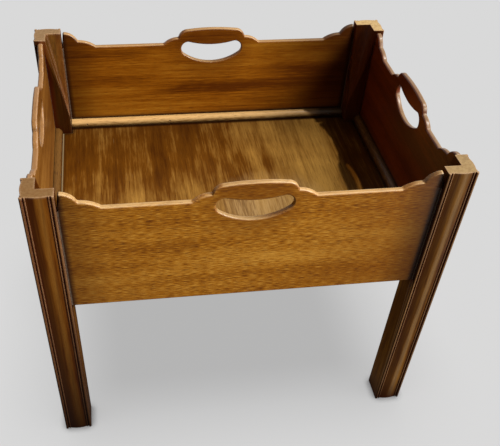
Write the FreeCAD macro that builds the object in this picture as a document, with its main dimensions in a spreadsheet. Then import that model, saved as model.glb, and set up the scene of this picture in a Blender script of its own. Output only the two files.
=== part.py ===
import FreeCAD, Part
import math
import os
import re

import Sketcher

# Driving sizes in millimetres; a name that ends in share is a plain ratio.
SIZES = {
    # Overall, over the outer faces and the tops of the legs
    "table_width": 640,
    "table_depth": 492,
    "table_height": 537,
    # Leg section: corner bead, quirk, fillet and cushion on the two outer faces
    "post_side": 46,
    "corner_round": 1.8,
    "bead_width": 4.4,
    "bead_round": 1.6,
    "quirk_width": 1.8,
    "quirk_depth": 2.4,
    "fillet_width": 2,
    "fillet_drop": 0.8,
    "cushion_drop": 2,
    # Hollow at the inner corner of each leg, which dies out above the tray floor
    "wing_thickness": 20,
    "notch_height": 155,
    # Sides of the tray
    "panel_recess": 7,
    "panel_thickness": 9,
    "panel_bottom": 320,
    "rim_height": 508,
    "end_rise": 26.5,
    "relief_width": 3.5,
    "relief_height": 26,
    "first_lobe_width": 28.5,
    "second_lobe_width": 31.5,
    "second_lobe_rise": 10.5,
    # Raised handle in the middle of each side
    "handle_length": 178,
    "handle_lobe_length": 124,
    "handle_lobe_rise": 11,
    "handle_top_length": 88,
    "handle_top_rise": 25.5,
    "handle_crown": 2.5,
    # Kidney-shaped hand hole, measured from the straight rim
    "hole_top_length": 86,
    "hole_top_rise": 3,
    "hole_top_sag": 6,
    "hole_waist_length": 104,
    "hole_waist_drop": 20,
    "hole_bottom_drop": 37,
    "hole_end_share": 0.53,
    # Stub tenons of the sides and their mortises in the legs
    "tenon_thickness": 5,
    "tenon_length": 16,
    "tenon_foot": 14,
    "tenon_height": 160,
    "tenon_clearance": 0.15,
    # Tray floor, its cover mouldings and the cleats that carry it
    "floor_top": 347,
    "floor_thickness": 12,
    "floor_clearance": 1,
    "moulding_height": 13,
    "moulding_depth": 13,
    "moulding_lip": 1.5,
    "cleat_height": 14,
    "cleat_depth": 14,
    "strip_clearance": 0.4,
    # Countersunk slotted wood screws
    "screw_diameter": 3.5,
    "screw_length": 20,
    "screw_point": 5,
    "screw_tip_diameter": 0.6,
    "screw_head_diameter": 7,
    "screw_head_height": 2,
    "screw_clearance": 0.15,
    "slot_width": 0.9,
    "slot_depth": 0.8,
    "cleat_screw_inset": 40,
    "floor_screw_inset": 110,
    # Lost-head pins that hold the mouldings, punched in below their faces
    "pin_diameter": 1.4,
    "pin_length": 16,
    "pin_head_diameter": 2.2,
    "pin_head_height": 1,
    "pin_sink": 1.6,
    "pin_clearance": 0.1,
    "pin_inset": 30,
    # Run-out of every cut past the surface that it starts from
    "overrun": 1,
}

ALONG_X = FreeCAD.Vector(1, 0, 0)
ALONG_Y = FreeCAD.Vector(0, 1, 0)
UP = FreeCAD.Vector(0, 0, 1)
# Turns of a piece made along +Z: left upright, or laid over to point out of the front
UPWARDS = FreeCAD.Rotation()
OUTWARDS = FreeCAD.Rotation(UP, -ALONG_Y)

doc = FreeCAD.newDocument("tray_table")
sheet = doc.addObject("Spreadsheet::Sheet", "Sizes")
for row, (name, size) in enumerate(SIZES.items(), start=1):
    sheet.set(f"A{row}", name)
    sheet.set(f"B{row}", str(size))
    sheet.setAlias(f"B{row}", name)
doc.recompute()


# Sheet expressions

def bound(expression):
    """The expression with every size's name pointed at the sheet."""
    def point(word):
        return f"Sizes.{word[0]}" if word[0] in SIZES else word[0]

    return re.sub(r"[a-z_]+", point, str(expression))


def value(expression):
    """The number that an expression stands for."""
    return float(sheet.evalExpression(str(expression)))


def bind(thing, **expressions):
    """Tie properties of an object to the sheet."""
    for property_name, expression in expressions.items():
        thing.setExpression(property_name, bound(expression))


def turned(rotation):
    """A placement at the origin with the given turn."""
    return FreeCAD.Placement(FreeCAD.Vector(), rotation)


def bind_place(thing, x=0, y=0, z=0, property_name="Placement"):
    """Tie an object's position to the sheet."""
    for axis, expression in zip("xyz", (x, y, z)):
        thing.setExpression(f"{property_name}.Base.{axis}", bound(expression))


# Sketches: the points of an edge, and the sketch's own origin, as constraints count them

NEAR_END, FAR_END, CENTRE = range(1, 4)
SKETCH_ORIGIN = (-1, NEAR_END)


def new_body(label):
    body = doc.addObject("PartDesign::Body", label)
    body.Label = label
    return body


def new_sketch(body, name, role, offset=0):
    """A sketch on one of the body's own origin planes, moved along the plane's normal."""
    sketch = body.newObject("Sketcher::SketchObject", name)
    plane = next(feature for feature in body.Origin.OriginFeatures if feature.Role == role)
    sketch.AttachmentSupport = [(plane, "")]
    sketch.MapMode = "FlatFace"
    sketch.setExpression("AttachmentOffset.Base.z", bound(offset))
    return sketch


def hold(sketch, kind, places, expression, name):
    """One dimension of a sketch, tied to the sheet."""
    sketch.addConstraint(Sketcher.Constraint(kind, *places, value(expression)))
    index = sketch.ConstraintCount - 1
    sketch.renameConstraint(index, name)
    sketch.setExpression(f"Constraints.{name}", bound(expression))


def arc_between(start, end, radius, bulge):
    """An arc from start to end that bulges to the left (1) or right (-1) of the way there."""
    chord = end - start
    half = chord.Length / 2
    left = FreeCAD.Vector(-chord.y, chord.x, 0).normalize()
    reach = math.sqrt(max(radius ** 2 - half ** 2, 0))
    centre = (start + end) / 2 - left * (bulge * reach)
    turn_start, turn_end = (end, start) if bulge > 0 else (start, end)
    first = math.atan2(turn_start.y - centre.y, turn_start.x - centre.x)
    last = math.atan2(turn_end.y - centre.y, turn_end.x - centre.x)
    return Part.ArcOfCircle(Part.Circle(centre, UP, radius), first, last)


def draw_outline(sketch, corners):
    """A closed outline; a corner is (across, up) or (across, up, radius, bulge of the arc that follows)."""
    points = [FreeCAD.Vector(value(corner[0]), value(corner[1]), 0) for corner in corners]
    ends = []
    for index, (_, _, *arc) in enumerate(corners):
        start = points[index]
        end = points[(index + 1) % len(points)]
        curve = arc_between(start, end, value(arc[0]), arc[1]) if arc else Part.LineSegment(start, end)
        edge = sketch.addGeometry(curve)
        # An arc runs anticlockwise, so one that bulges to the left is stored from its far end
        ends.append((edge, FAR_END, NEAR_END) if arc and arc[1] > 0 else (edge, NEAR_END, FAR_END))
    for index, (edge, _, far_end) in enumerate(ends):
        next_edge, next_start, _ = ends[(index + 1) % len(ends)]
        sketch.addConstraint(Sketcher.Constraint("Coincident", edge, far_end, next_edge, next_start))
    for index, (across, up, *arc) in enumerate(corners):
        edge, start_end, _ = ends[index]
        hold(sketch, "DistanceX", (*SKETCH_ORIGIN, edge, start_end), across, f"across{index}")
        hold(sketch, "DistanceY", (*SKETCH_ORIGIN, edge, start_end), up, f"up{index}")
        if arc:
            hold(sketch, "Radius", (edge,), arc[0], f"radius{index}")


def draw_circles(sketch, centres, radius):
    """Equal circles at the given centres."""
    for index, (across, up) in enumerate(centres):
        centre = FreeCAD.Vector(value(across), value(up), 0)
        edge = sketch.addGeometry(Part.Circle(centre, UP, value(radius)))
        hold(sketch, "DistanceX", (*SKETCH_ORIGIN, edge, CENTRE), across, f"across{index}")
        hold(sketch, "DistanceY", (*SKETCH_ORIGIN, edge, CENTRE), up, f"up{index}")
        hold(sketch, "Radius", (edge,), radius, f"radius{index}")


# Features

def pad(body, sketch, length, both_ways=False):
    feature = body.newObject("PartDesign::Pad", f"{sketch.Name}_pad")
    feature.Profile = sketch
    feature.SideType = "Symmetric" if both_ways else "One side"
    bind(feature, Length=length)
    doc.recompute()
    return feature


def cut(body, sketch, depth):
    """A pocket that runs from the sketch into the solid, whose volume has to fall."""
    before = body.Shape.Volume
    feature = body.newObject("PartDesign::Pocket", f"{sketch.Name}_cut")
    feature.Profile = sketch
    feature.Reversed = True
    bind(feature, Length=depth)
    doc.recompute()
    if body.Shape.Volume >= before:
        raise RuntimeError(f"{feature.Name} removes nothing")
    return feature


def box(body, kind, name, size, place):
    feature = body.newObject(f"PartDesign::{kind}Box", name)
    bind(feature, Length=size[0], Width=size[1], Height=size[2])
    bind_place(feature, *place)
    doc.recompute()
    return feature


def tangent_radius(width, drop):
    """Radius of an arc that starts level and falls by drop over width."""
    return f"(({width})^2 + ({drop})^2) / (2 * ({drop}))"


# Legs: the outer corner of the section is the leg's own origin

FIELD_START = "bead_width + quirk_width + fillet_width"
QUIRK_END = "bead_width + quirk_width"


def moulded_face():
    """Corners of one outer face from its first rounded edge to its last: (along, depth, arc...)."""
    half_field = f"post_side / 2 - ({FIELD_START})"
    start = [
        ("corner_round", "0"),
        ("bead_width - bead_round", "0", "bead_round", -1),
        ("bead_width", "bead_round"),
        ("bead_width", "quirk_depth"),
        (QUIRK_END, "quirk_depth"),
        (QUIRK_END, "fillet_drop"),
        (FIELD_START, "fillet_drop"),
    ]
    cushion = (FIELD_START, "cushion_drop", tangent_radius(half_field, "cushion_drop"), -1)
    finish = [
        (f"post_side - ({FIELD_START})", "cushion_drop"),
        (f"post_side - ({FIELD_START})", "fillet_drop"),
        (f"post_side - ({QUIRK_END})", "fillet_drop"),
        (f"post_side - ({QUIRK_END})", "quirk_depth"),
        ("post_side - bead_width", "quirk_depth"),
        ("post_side - bead_width", "bead_round", "bead_round", -1),
        ("post_side - bead_width + bead_round", "0"),
        ("post_side - corner_round", "0", "corner_round", -1),
    ]
    return start + [cushion] + finish


def mirrored_face():
    """The same corners seen from the other outer face, in the opposite order."""
    corners = moulded_face()
    arcs_after = [corners[index - 1][2:] for index in range(len(corners))]
    turned = [(corner[1], corner[0]) + arc for corner, arc in zip(corners, arcs_after)]
    turned.reverse()
    first = ("corner_round", "post_side", "corner_round", -1)
    last = ("0", "corner_round", "corner_round", -1)
    return [first, ("0", "post_side - corner_round")] + turned[1:-1] + [last]


def leg(label, rotation):
    """One leg, turned so that its moulded faces look outwards."""
    body = new_body(label)
    section = new_sketch(body, f"{label}_section", "XY_Plane")
    front = moulded_face()
    inner = [("post_side", "corner_round"), ("post_side", "post_side")]
    draw_outline(section, front + inner + mirrored_face())
    pad(body, section, "table_height")
    mortises(body, label)
    notch(body, label)
    corner = rotation.multVec(-ALONG_X - ALONG_Y)
    body.Placement = turned(rotation)
    bind_place(body, f"{round(corner.x)} * table_width / 2", f"{round(corner.y)} * table_depth / 2")
    return body


def mortises(body, label):
    """A slot in each inner face for the tenon of the side that meets it there."""
    depth = "tenon_length + tenon_clearance + overrun"
    width = "tenon_thickness + 2 * tenon_clearance"
    height = "tenon_height + 2 * tenon_clearance"
    floor = "post_side - tenon_length - tenon_clearance"
    wall = "panel_recess + (panel_thickness - tenon_thickness) / 2 - tenon_clearance"
    foot = "panel_bottom + tenon_foot - tenon_clearance"
    box(body, "Subtractive", f"{label}_mortise_across", (depth, width, height), (floor, wall, foot))
    box(body, "Subtractive", f"{label}_mortise_back", (width, depth, height), (wall, floor, foot))


def notch(body, label):
    """The tapered hollow in the inner corner: widest at the top, a point at its foot."""
    width = "post_side - wing_thickness"
    hollow = body.newObject("PartDesign::SubtractiveWedge", f"{label}_notch")
    bind(hollow, Xmin=0, Xmax=width, Zmin=0, Zmax=width, Ymin=0, Ymax="notch_height")
    bind(hollow, X2min=width, X2max=width, Z2min=width, Z2max=width)
    hollow.Placement = turned(FreeCAD.Rotation(ALONG_Y, -UP))
    bind_place(hollow, "wing_thickness", "wing_thickness", "table_height")
    doc.recompute()


# Sides: each has its own frame, with its inner face at zero depth and its middle at zero

INNER_FACE = "panel_recess + panel_thickness"
WIDE_RUN = "table_width - 2 * post_side"
DEEP_RUN = "table_depth - 2 * post_side"
WIDE_REACH = f"table_width / 2 - ({INNER_FACE})"
DEEP_REACH = f"table_depth / 2 - ({INNER_FACE})"
# name: way along it, clear run between the legs, reach from the table's middle to its inner face
SIDES = {
    "front": (ALONG_X, WIDE_RUN, DEEP_REACH),
    "right": (ALONG_Y, DEEP_RUN, WIDE_REACH),
    "back": (-ALONG_X, WIDE_RUN, DEEP_REACH),
    "left": (-ALONG_Y, DEEP_RUN, WIDE_REACH),
}


def facing(way):
    """The turn about the upright that takes +X to a way along a side."""
    return FreeCAD.Rotation(way, UP.cross(way), UP, "ZXY")


def side_point(side, along, inward):
    """Position in the table's frame of a point in a side's frame."""
    way, _, reach = SIDES[side]
    inner = UP.cross(way)
    return (f"{round(way.x)} * ({along}) + {round(inner.x)} * ({inward} - ({reach}))",
            f"{round(way.y)} * ({along}) + {round(inner.y)} * ({inward} - ({reach}))")


def place_on_side(thing, side):
    thing.Placement = turned(facing(SIDES[side][0]))
    bind_place(thing, *side_point(side, 0, 0))


def half_top_outline(run):
    """Corners of the right half of a side's upper edge, from the leg to the handle's middle."""
    half = f"({run}) / 2"
    first_width = "first_lobe_width - relief_width"
    first_drop = "end_rise - second_lobe_rise"
    first_cusp = f"{half} - first_lobe_width"
    second_cusp = f"{first_cusp} - second_lobe_width"
    lobe_width = "(handle_length - handle_lobe_length) / 2"
    shoulder_width = "(handle_lobe_length - handle_top_length) / 2"
    shoulder_drop = "handle_top_rise - handle_lobe_rise"
    return [
        (half, "rim_height + end_rise - relief_height"),
        (f"{half} - relief_width", "rim_height + end_rise", tangent_radius(first_width, first_drop), -1),
        (first_cusp, "rim_height + second_lobe_rise",
         tangent_radius("second_lobe_width", "second_lobe_rise"), -1),
        (second_cusp, "rim_height"),
        ("handle_length / 2", "rim_height", tangent_radius(lobe_width, "handle_lobe_rise"), -1),
        ("handle_lobe_length / 2", "rim_height + handle_lobe_rise",
         tangent_radius(shoulder_width, shoulder_drop), -1),
    ]


def mirror_outline(corners):
    """The corners reflected to the other half and taken in the opposite order."""
    arcs_after = [()] + [corner[2:] for corner in corners[:-1]]
    reflected = [(f"-({corner[0]})", corner[1]) + arc for corner, arc in zip(corners, arcs_after)]
    reflected.reverse()
    return reflected


def panel(side):
    """A shaped side with its hand hole and a stub tenon at each end."""
    label = f"{side}_panel"
    _, run, _ = SIDES[side]
    body = new_body(label)
    half = f"({run}) / 2"
    right = half_top_outline(run)
    crown = tangent_radius("handle_top_length / 2", "handle_crown")
    top_right = ("handle_top_length / 2", "rim_height + handle_top_rise", crown, -1)
    shoulder = right[-1][2:]
    top_left = ("handle_top_length / -2", "rim_height + handle_top_rise") + shoulder
    bottom = [(f"-({half})", "panel_bottom"), (half, "panel_bottom")]
    outline = new_sketch(body, f"{label}_outline", "XZ_Plane")
    draw_outline(outline, right + [top_right, top_left] + mirror_outline(right) + bottom)
    pad(body, outline, "panel_thickness")
    hand_hole(body, label)
    tenons(body, label, half)
    fastener_seats(body, label, run)
    place_on_side(body, side)
    return body


def hand_hole(body, label):
    """A kidney: a sagging top edge, two round ends and a wide bowed bottom."""
    end_height = "hole_top_rise + hole_waist_drop"
    end_inset = "(hole_waist_length - hole_top_length) / 2"
    end_radius = f"hole_end_share * sqrt(({end_height})^2 + ({end_inset})^2)"
    top = "rim_height + hole_top_rise"
    waist = "rim_height - hole_waist_drop"
    sag_radius = tangent_radius("hole_top_length / 2", "hole_top_sag")
    bottom_radius = tangent_radius("hole_waist_length / 2", "hole_bottom_drop - hole_waist_drop")
    sketch = new_sketch(body, f"{label}_hole", "XZ_Plane", "-overrun")
    draw_outline(sketch, [
        ("-hole_top_length / 2", top, sag_radius, -1),
        ("hole_top_length / 2", top, end_radius, 1),
        ("hole_waist_length / 2", waist, bottom_radius, 1),
        ("-hole_waist_length / 2", waist, end_radius, 1),
    ])
    cut(body, sketch, "panel_thickness + 2 * overrun")


def tenons(body, label, half):
    size = ("tenon_length", "tenon_thickness", "tenon_height")
    wall = "(tenon_thickness + panel_thickness) / -2"
    foot = "panel_bottom + tenon_foot"
    box(body, "Additive", f"{label}_tenon_right", size, (half, wall, foot))
    box(body, "Additive", f"{label}_tenon_left", size, (f"-({half}) - tenon_length", wall, foot))


# Fastener places along a side

CLEAT_MIDDLE = "floor_top - floor_thickness - cleat_height / 2"
CLEAT_FOOT = "floor_top - floor_thickness - cleat_height"
PIN_HEIGHT = "floor_top + moulding_height / 2"
PIN_TOP = "moulding_depth - pin_sink"


def spread(run, inset, count):
    """Even places along a run that keep the inset from both of its ends."""
    return [f"(({run}) / 2 - {inset}) * {2 * index / (count - 1) - 1}" for index in range(count)]


def cleat_screw_places(run):
    return spread(run, "cleat_screw_inset", 3)


def floor_screw_places(run):
    return spread(run, "floor_screw_inset", 2)


def pin_places(run):
    return spread(run, "pin_inset", 4)


def fastener_seats(body, label, run):
    """Blind holes in the inner face for the cleat screws and the moulding pins."""
    screws = new_sketch(body, f"{label}_screw_seats", "XZ_Plane", "-overrun")
    draw_circles(screws, [(place, CLEAT_MIDDLE) for place in cleat_screw_places(run)],
                 "screw_diameter / 2 + screw_clearance")
    cut(body, screws, "screw_length - cleat_depth + screw_clearance + overrun")
    pins = new_sketch(body, f"{label}_pin_seats", "XZ_Plane", "-overrun")
    draw_circles(pins, [(place, PIN_HEIGHT) for place in pin_places(run)], "pin_diameter / 2 + pin_clearance")
    cut(body, pins, f"pin_length - ({PIN_TOP}) + pin_clearance + overrun")


# Tray floor: notched round the legs, carried by the cleats

def tray_floor():
    body = new_body("tray_floor")
    wide = f"table_width / 2 - ({INNER_FACE}) - floor_clearance"
    deep = f"table_depth / 2 - ({INNER_FACE}) - floor_clearance"
    neck_wide = "table_width / 2 - post_side - floor_clearance"
    neck_deep = "table_depth / 2 - post_side - floor_clearance"
    quarter = [(wide, neck_deep), (neck_wide, neck_deep), (neck_wide, deep)]
    corners = []
    for across_sign, up_sign in ((1, 1), (-1, 1), (-1, -1), (1, -1)):
        ordered = quarter if across_sign * up_sign > 0 else quarter[::-1]
        corners += [(f"{across_sign} * ({across})", f"{up_sign} * ({up})") for across, up in ordered]
    underside = "floor_top - floor_thickness"
    outline = new_sketch(body, "tray_floor_outline", "XY_Plane", underside)
    draw_outline(outline, corners)
    pad(body, outline, "floor_thickness")
    seats = new_sketch(body, "tray_floor_screw_seats", "XY_Plane", f"{underside} - overrun")
    centres = [side_point(side, place, "cleat_depth / 2")
               for side, (_, run, _) in SIDES.items() for place in floor_screw_places(run)]
    draw_circles(seats, centres, "screw_diameter / 2 + screw_clearance")
    cut(body, seats, "screw_length - cleat_height + screw_clearance + overrun")
    return body


# Strips that run between the legs along a side

def moulding(side):
    """Quarter-round strip over the gap between the floor and a side, pierced for its pins."""
    label = f"{side}_moulding"
    _, run, _ = SIDES[side]
    body = new_body(label)
    profile = new_sketch(body, f"{label}_profile", "YZ_Plane")
    top = "floor_top + moulding_height"
    bow = "(moulding_height - moulding_lip + moulding_depth - moulding_lip) / 2"
    draw_outline(profile, [
        ("0", "floor_top"),
        ("moulding_depth", "floor_top"),
        ("moulding_depth", "floor_top + moulding_lip", bow, -1),
        ("moulding_lip", top),
        ("0", top),
    ])
    pad(body, profile, f"{run} - 2 * strip_clearance", both_ways=True)
    for index, place in enumerate(pin_places(run)):
        pin_hole(body, f"{label}_pin_hole{index}", place)
    place_on_side(body, side)
    return body


def bore(body, name, radius, depth, place, rotation):
    """A round hole from its place along its own axis."""
    feature = body.newObject("PartDesign::SubtractiveCylinder", name)
    bind(feature, Radius=radius, Height=depth)
    feature.Placement = turned(rotation)
    bind_place(feature, *place)
    doc.recompute()


def pin_hole(body, name, along):
    """A hole for a pin, wider where its head is punched in."""
    shank = "pin_diameter / 2 + pin_clearance"
    head = "pin_head_diameter / 2 + pin_clearance"
    face = ("moulding_depth + overrun", PIN_HEIGHT)
    bore(body, name, shank, "moulding_depth + 2 * overrun", (along, *face), OUTWARDS)
    bore(body, f"{name}_head", head, "overrun + pin_sink + pin_head_height", (along, *face), OUTWARDS)


def screw_hole(body, name, place, depth, rotation):
    """A clearance hole that starts at a screw's head, with its conical seat."""
    shank = "screw_diameter / 2 + screw_clearance"
    bore(body, name, shank, f"{depth} + overrun", place, rotation)
    seat = body.newObject("PartDesign::SubtractiveCone", f"{name}_seat")
    bind(seat, Radius1="screw_head_diameter / 2 + screw_clearance", Radius2=shank)
    bind(seat, Height="screw_head_height + screw_clearance")
    seat.Placement = turned(rotation)
    bind_place(seat, *place)
    doc.recompute()


def cleat(side):
    """Square bearer under the floor's edge, bored for the screws into the side and the floor."""
    label = f"{side}_cleat"
    _, run, _ = SIDES[side]
    body = new_body(label)
    length = f"{run} - 2 * strip_clearance"
    box(body, "Additive", f"{label}_stock", (length, "cleat_depth", "cleat_height"),
        (f"strip_clearance - ({run}) / 2", 0, CLEAT_FOOT))
    for index, along in enumerate(cleat_screw_places(run)):
        place = (along, "cleat_depth", CLEAT_MIDDLE)
        screw_hole(body, f"{label}_side_hole{index}", place, "cleat_depth", OUTWARDS)
    for index, along in enumerate(floor_screw_places(run)):
        place = (along, "cleat_depth / 2", CLEAT_FOOT)
        screw_hole(body, f"{label}_floor_hole{index}", place, "cleat_height", UPWARDS)
    place_on_side(body, side)
    return body


# Fasteners: the head's flat top is at zero and the point looks along +Z

def fastener(label, corners):
    body = new_body(label)
    profile = new_sketch(body, f"{label}_profile", "XZ_Plane")
    draw_outline(profile, corners)
    revolved = body.newObject("PartDesign::Revolution", f"{label}_revolved")
    revolved.Profile = profile
    revolved.ReferenceAxis = (profile, ["V_Axis"])
    doc.recompute()
    return body


def wood_screw():
    body = fastener("wood_screw", [
        ("0", "0"),
        ("screw_head_diameter / 2", "0"),
        ("screw_diameter / 2", "screw_head_height"),
        ("screw_diameter / 2", "screw_length - screw_point"),
        ("screw_tip_diameter / 2", "screw_length"),
        ("0", "screw_length"),
    ])
    box(body, "Subtractive", "wood_screw_slot",
        ("screw_head_diameter + 2 * overrun", "slot_width", "slot_depth + overrun"),
        ("screw_head_diameter / -2 - overrun", "slot_width / -2", "-overrun"))
    return body


def moulding_pin():
    return fastener("moulding_pin", [
        ("0", "0"),
        ("pin_head_diameter / 2", "0"),
        ("pin_head_diameter / 2", "pin_head_height"),
        ("pin_diameter / 2", "pin_head_height"),
        ("pin_diameter / 2", "pin_length"),
        ("0", "pin_length"),
    ])


def fastener_group(label, pattern, places):
    """One node of separate equal fasteners; a place is (x, y, z, rotation)."""
    links = []
    for index, (x, y, z, rotation) in enumerate(places):
        link = doc.addObject("App::Link", f"{label}_{index}")
        link.LinkedObject = pattern
        link.LinkPlacement = turned(rotation)
        bind_place(link, x, y, z, property_name="LinkPlacement")
        links.append(link)
    group = doc.addObject("Part::Compound", label)
    group.Label = label
    group.Links = links
    return group


def driven_outwards(places_along, inward, height):
    """Places of fasteners that are driven from inside the table into its sides."""
    places = []
    for side, (way, run, _) in SIDES.items():
        rotation = facing(way) * OUTWARDS
        for along in places_along(run):
            places.append((*side_point(side, along, inward), height, rotation))
    return places


def driven_upwards():
    """Places of the screws that are driven up through the cleats into the floor."""
    return [(*side_point(side, along, "cleat_depth / 2"), CLEAT_FOOT, UPWARDS)
            for side, (_, run, _) in SIDES.items() for along in floor_screw_places(run)]


# The whole table

def build():
    legs = ("leg_front_left", "leg_front_right", "leg_rear_right", "leg_rear_left")
    nodes = [leg(label, facing(way)) for label, (way, _, _) in zip(legs, SIDES.values())]
    nodes += [panel(side) for side in SIDES]
    nodes.append(tray_floor())
    nodes += [moulding(side) for side in SIDES]
    nodes += [cleat(side) for side in SIDES]
    screw = wood_screw()
    pin = moulding_pin()
    nodes.append(fastener_group("cleat_screws", screw,
                                driven_outwards(cleat_screw_places, "cleat_depth", CLEAT_MIDDLE)))
    nodes.append(fastener_group("floor_screws", screw, driven_upwards()))
    nodes.append(fastener_group("moulding_pins", pin,
                                driven_outwards(pin_places, PIN_TOP, PIN_HEIGHT)))
    return nodes


def check(nodes):
    """Stop if any object of the document failed or any node is empty or not valid."""
    doc.recompute()
    failed = [thing.Name for thing in doc.Objects
              if any(state in ("Invalid", "Error") for state in thing.State)]
    broken = [node.Label for node in nodes if node.Shape.isNull() or not node.Shape.isValid()]
    if failed or broken:
        raise RuntimeError(f"failed: {failed}; not valid: {broken}")


def write(nodes):
    os.makedirs("parts", exist_ok=True)
    for node in nodes:
        node.Shape.exportStep(f"parts/{node.Label}.step")
        print(f"{node.Label}: {len(node.Shape.Solids)} solid(s), {node.Shape.Volume:.0f} cubic mm")


table = build()
check(table)
write(table)
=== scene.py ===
# %% [markdown]
# # A deep tray table in old mahogany
# The table stands on four moulded square legs. They are also the corners of a deep open tray,
# whose thin sides have scrolled ends and raised handles with kidney-shaped hand holes.
# The measured solids arrive ready made, so this lesson only rounds their edges, finishes the
# wood, and sets up the light and the camera. We start by loading the solids and counting them.

# %% Load the measured solids
import math

import bpy
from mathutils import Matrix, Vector

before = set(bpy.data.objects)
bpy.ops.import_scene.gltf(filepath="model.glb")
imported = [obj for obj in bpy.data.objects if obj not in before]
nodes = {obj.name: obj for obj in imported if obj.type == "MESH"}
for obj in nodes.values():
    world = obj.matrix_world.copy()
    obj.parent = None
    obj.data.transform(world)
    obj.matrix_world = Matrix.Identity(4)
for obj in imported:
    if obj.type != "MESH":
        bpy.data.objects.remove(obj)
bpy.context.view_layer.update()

print("solids:", len(nodes))

# %% [markdown]
# ## One helper for nodes
# Blender's node trees shape geometry as well as finishes. One small function adds a node, sets it
# up and links it. Inputs are given by name, or by number where a node has several of one name.
# A node that is given as an input hands over its first output.

# %% Add a node
def add(tree, kind, inputs=None, **settings):
    node = tree.nodes.new(kind)
    for key, setting in settings.items():
        setattr(node, key, setting)
    sockets = [socket for socket in node.inputs if socket.enabled]
    for key, value in (inputs or {}).items():
        socket = sockets[key] if isinstance(key, int) else next(s for s in sockets if s.name == key)
        if isinstance(value, bpy.types.Node):
            value = next(output for output in value.outputs if output.enabled)
        if isinstance(value, bpy.types.NodeSocket):
            tree.links.new(value, socket)
        else:
            socket.default_value = value
    return node


# %% [markdown]
# ## Softened edges
# No edge of a hand-made table stays knife sharp: planing, polish and a century of hands round it
# over. We could model each rounding by hand, but a few geometry nodes can find the sharp edges by
# their angle and weight them for a Bevel modifier. They leave out the heights where screw and pin
# holes lie hidden. The edges that hands meet are the roundest.

# %% Find the sharp edges
SHARP_DEG = 38


def metres(*lengths_mm):
    return [length / 1000 for length in lengths_mm]


def sharp_edges(name, hidden_mm):
    tree = bpy.data.node_groups.new(name, "GeometryNodeTree")
    tree.interface.new_socket("Geometry", in_out="INPUT", socket_type="NodeSocketGeometry")
    tree.interface.new_socket("Geometry", in_out="OUTPUT", socket_type="NodeSocketGeometry")
    solid = add(tree, "NodeGroupInput")
    angle = add(tree, "GeometryNodeInputMeshEdgeAngle").outputs["Unsigned Angle"]
    sharp = add(tree, "ShaderNodeMath", {0: angle, 1: math.radians(SHARP_DEG)},
                operation="GREATER_THAN")
    place = add(tree, "ShaderNodeSeparateXYZ", {"Vector": add(tree, "GeometryNodeInputPosition")})
    low, high = metres(*hidden_mm)
    hidden = add(tree, "ShaderNodeMath", {0: place.outputs["Z"], 1: (low + high) / 2,
                                          2: (high - low) / 2}, operation="COMPARE")
    weight = add(tree, "ShaderNodeMath", {0: sharp, 1: hidden}, operation="SUBTRACT",
                 use_clamp=True)
    weighted = add(tree, "GeometryNodeStoreNamedAttribute",
                   {"Geometry": solid, "Name": "bevel_weight_edge", "Value": weight},
                   data_type="FLOAT", domain="EDGE")
    smooth = add(tree, "GeometryNodeSetShadeSmooth", {"Geometry": weighted})
    add(tree, "NodeGroupOutput", {"Geometry": smooth})
    return tree


# %% [markdown]
# The solids come with split corners, so a Weld modifier joins them before the edges are found. The
# Bevel doesn't slide along the triangles of a flat face, which would fold them over. A Weighted
# Normal modifier after it keeps the broad faces looking flat.

# %% Round the edges
EDGE_ROUND_MM = {"leg": 0.6, "panel": 2.6, "tray_floor": 0.5, "moulding": 0.4, "cleat": 0.5}
HIDDEN_MM = {"panel": (320.5, 465), "tray_floor": (334, 346), "leg": (321, 500)}
FIXINGS = ("cleat_screws", "floor_screws", "moulding_pins")


def soften(piece, radius_mm, edges):
    weld = piece.modifiers.new("join corners", "WELD")
    weld.merge_threshold = 1e-6
    piece.modifiers.new("sharp edges", "NODES").node_group = edges
    bevel = piece.modifiers.new("rounded edges", "BEVEL")
    bevel.width = radius_mm / 1000
    bevel.segments = 4
    bevel.limit_method = "WEIGHT"
    bevel.use_clamp_overlap = False
    bevel.loop_slide = False
    piece.modifiers.new("flat faces", "WEIGHTED_NORMAL")


for kind, radius_mm in EDGE_ROUND_MM.items():
    edges = sharp_edges(f"{kind} edges", HIDDEN_MM.get(kind, (0, 0)))
    matching = [name for name in nodes if kind in name and name not in FIXINGS]
    for name in matching:
        soften(nodes[name], radius_mm, edges)
    print(kind, "edges rounded to", radius_mm, "mm on", len(matching), "pieces")

# %% [markdown]
# ## Colours
# Colours are written as the hex values that an eye dropper shows. A shader works with linear
# light, so one function converts them.

# %% From hex to linear light
def linear(hex_colour):
    parts = [int(hex_colour[i:i + 2], 16) / 255 for i in (1, 3, 5)]
    return [p / 12.92 if p <= 0.04045 else ((p + 0.055) / 1.055) ** 2.4 for p in parts] + [1.0]


print("mid brown in linear light:", [round(c, 3) for c in linear("#8c5a1e")])

# %% [markdown]
# ## Wood grain from real sizes
# Wood is a bundle of long fibres, so each of its patterns is much longer along the grain than
# across it. Noise that is stretched along one axis gives just that, and its size is written in
# millimetres. Mahogany has broad slow bands from its growth, a lively figure where the fibres lean
# this way and that, thin streaks, short flecks, and fine dark pores. Pores are really a quarter of
# a millimetre wide. They are drawn about one millimetre wide here, because finer ones wouldn't
# show.

# %% Grain patterns
GRAIN_MM = {"bands": (420, 46), "figure": (170, 26), "streaks": (110, 2.4), "flecks": (13, 1.0),
            "pores": (12, 0.9)}


def stretch(along, length_mm, width_mm):
    """Steps of noise in a metre, few along the grain and many across it."""
    return [1000 / (length_mm if axis == along else width_mm) for axis in "XYZ"]


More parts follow.
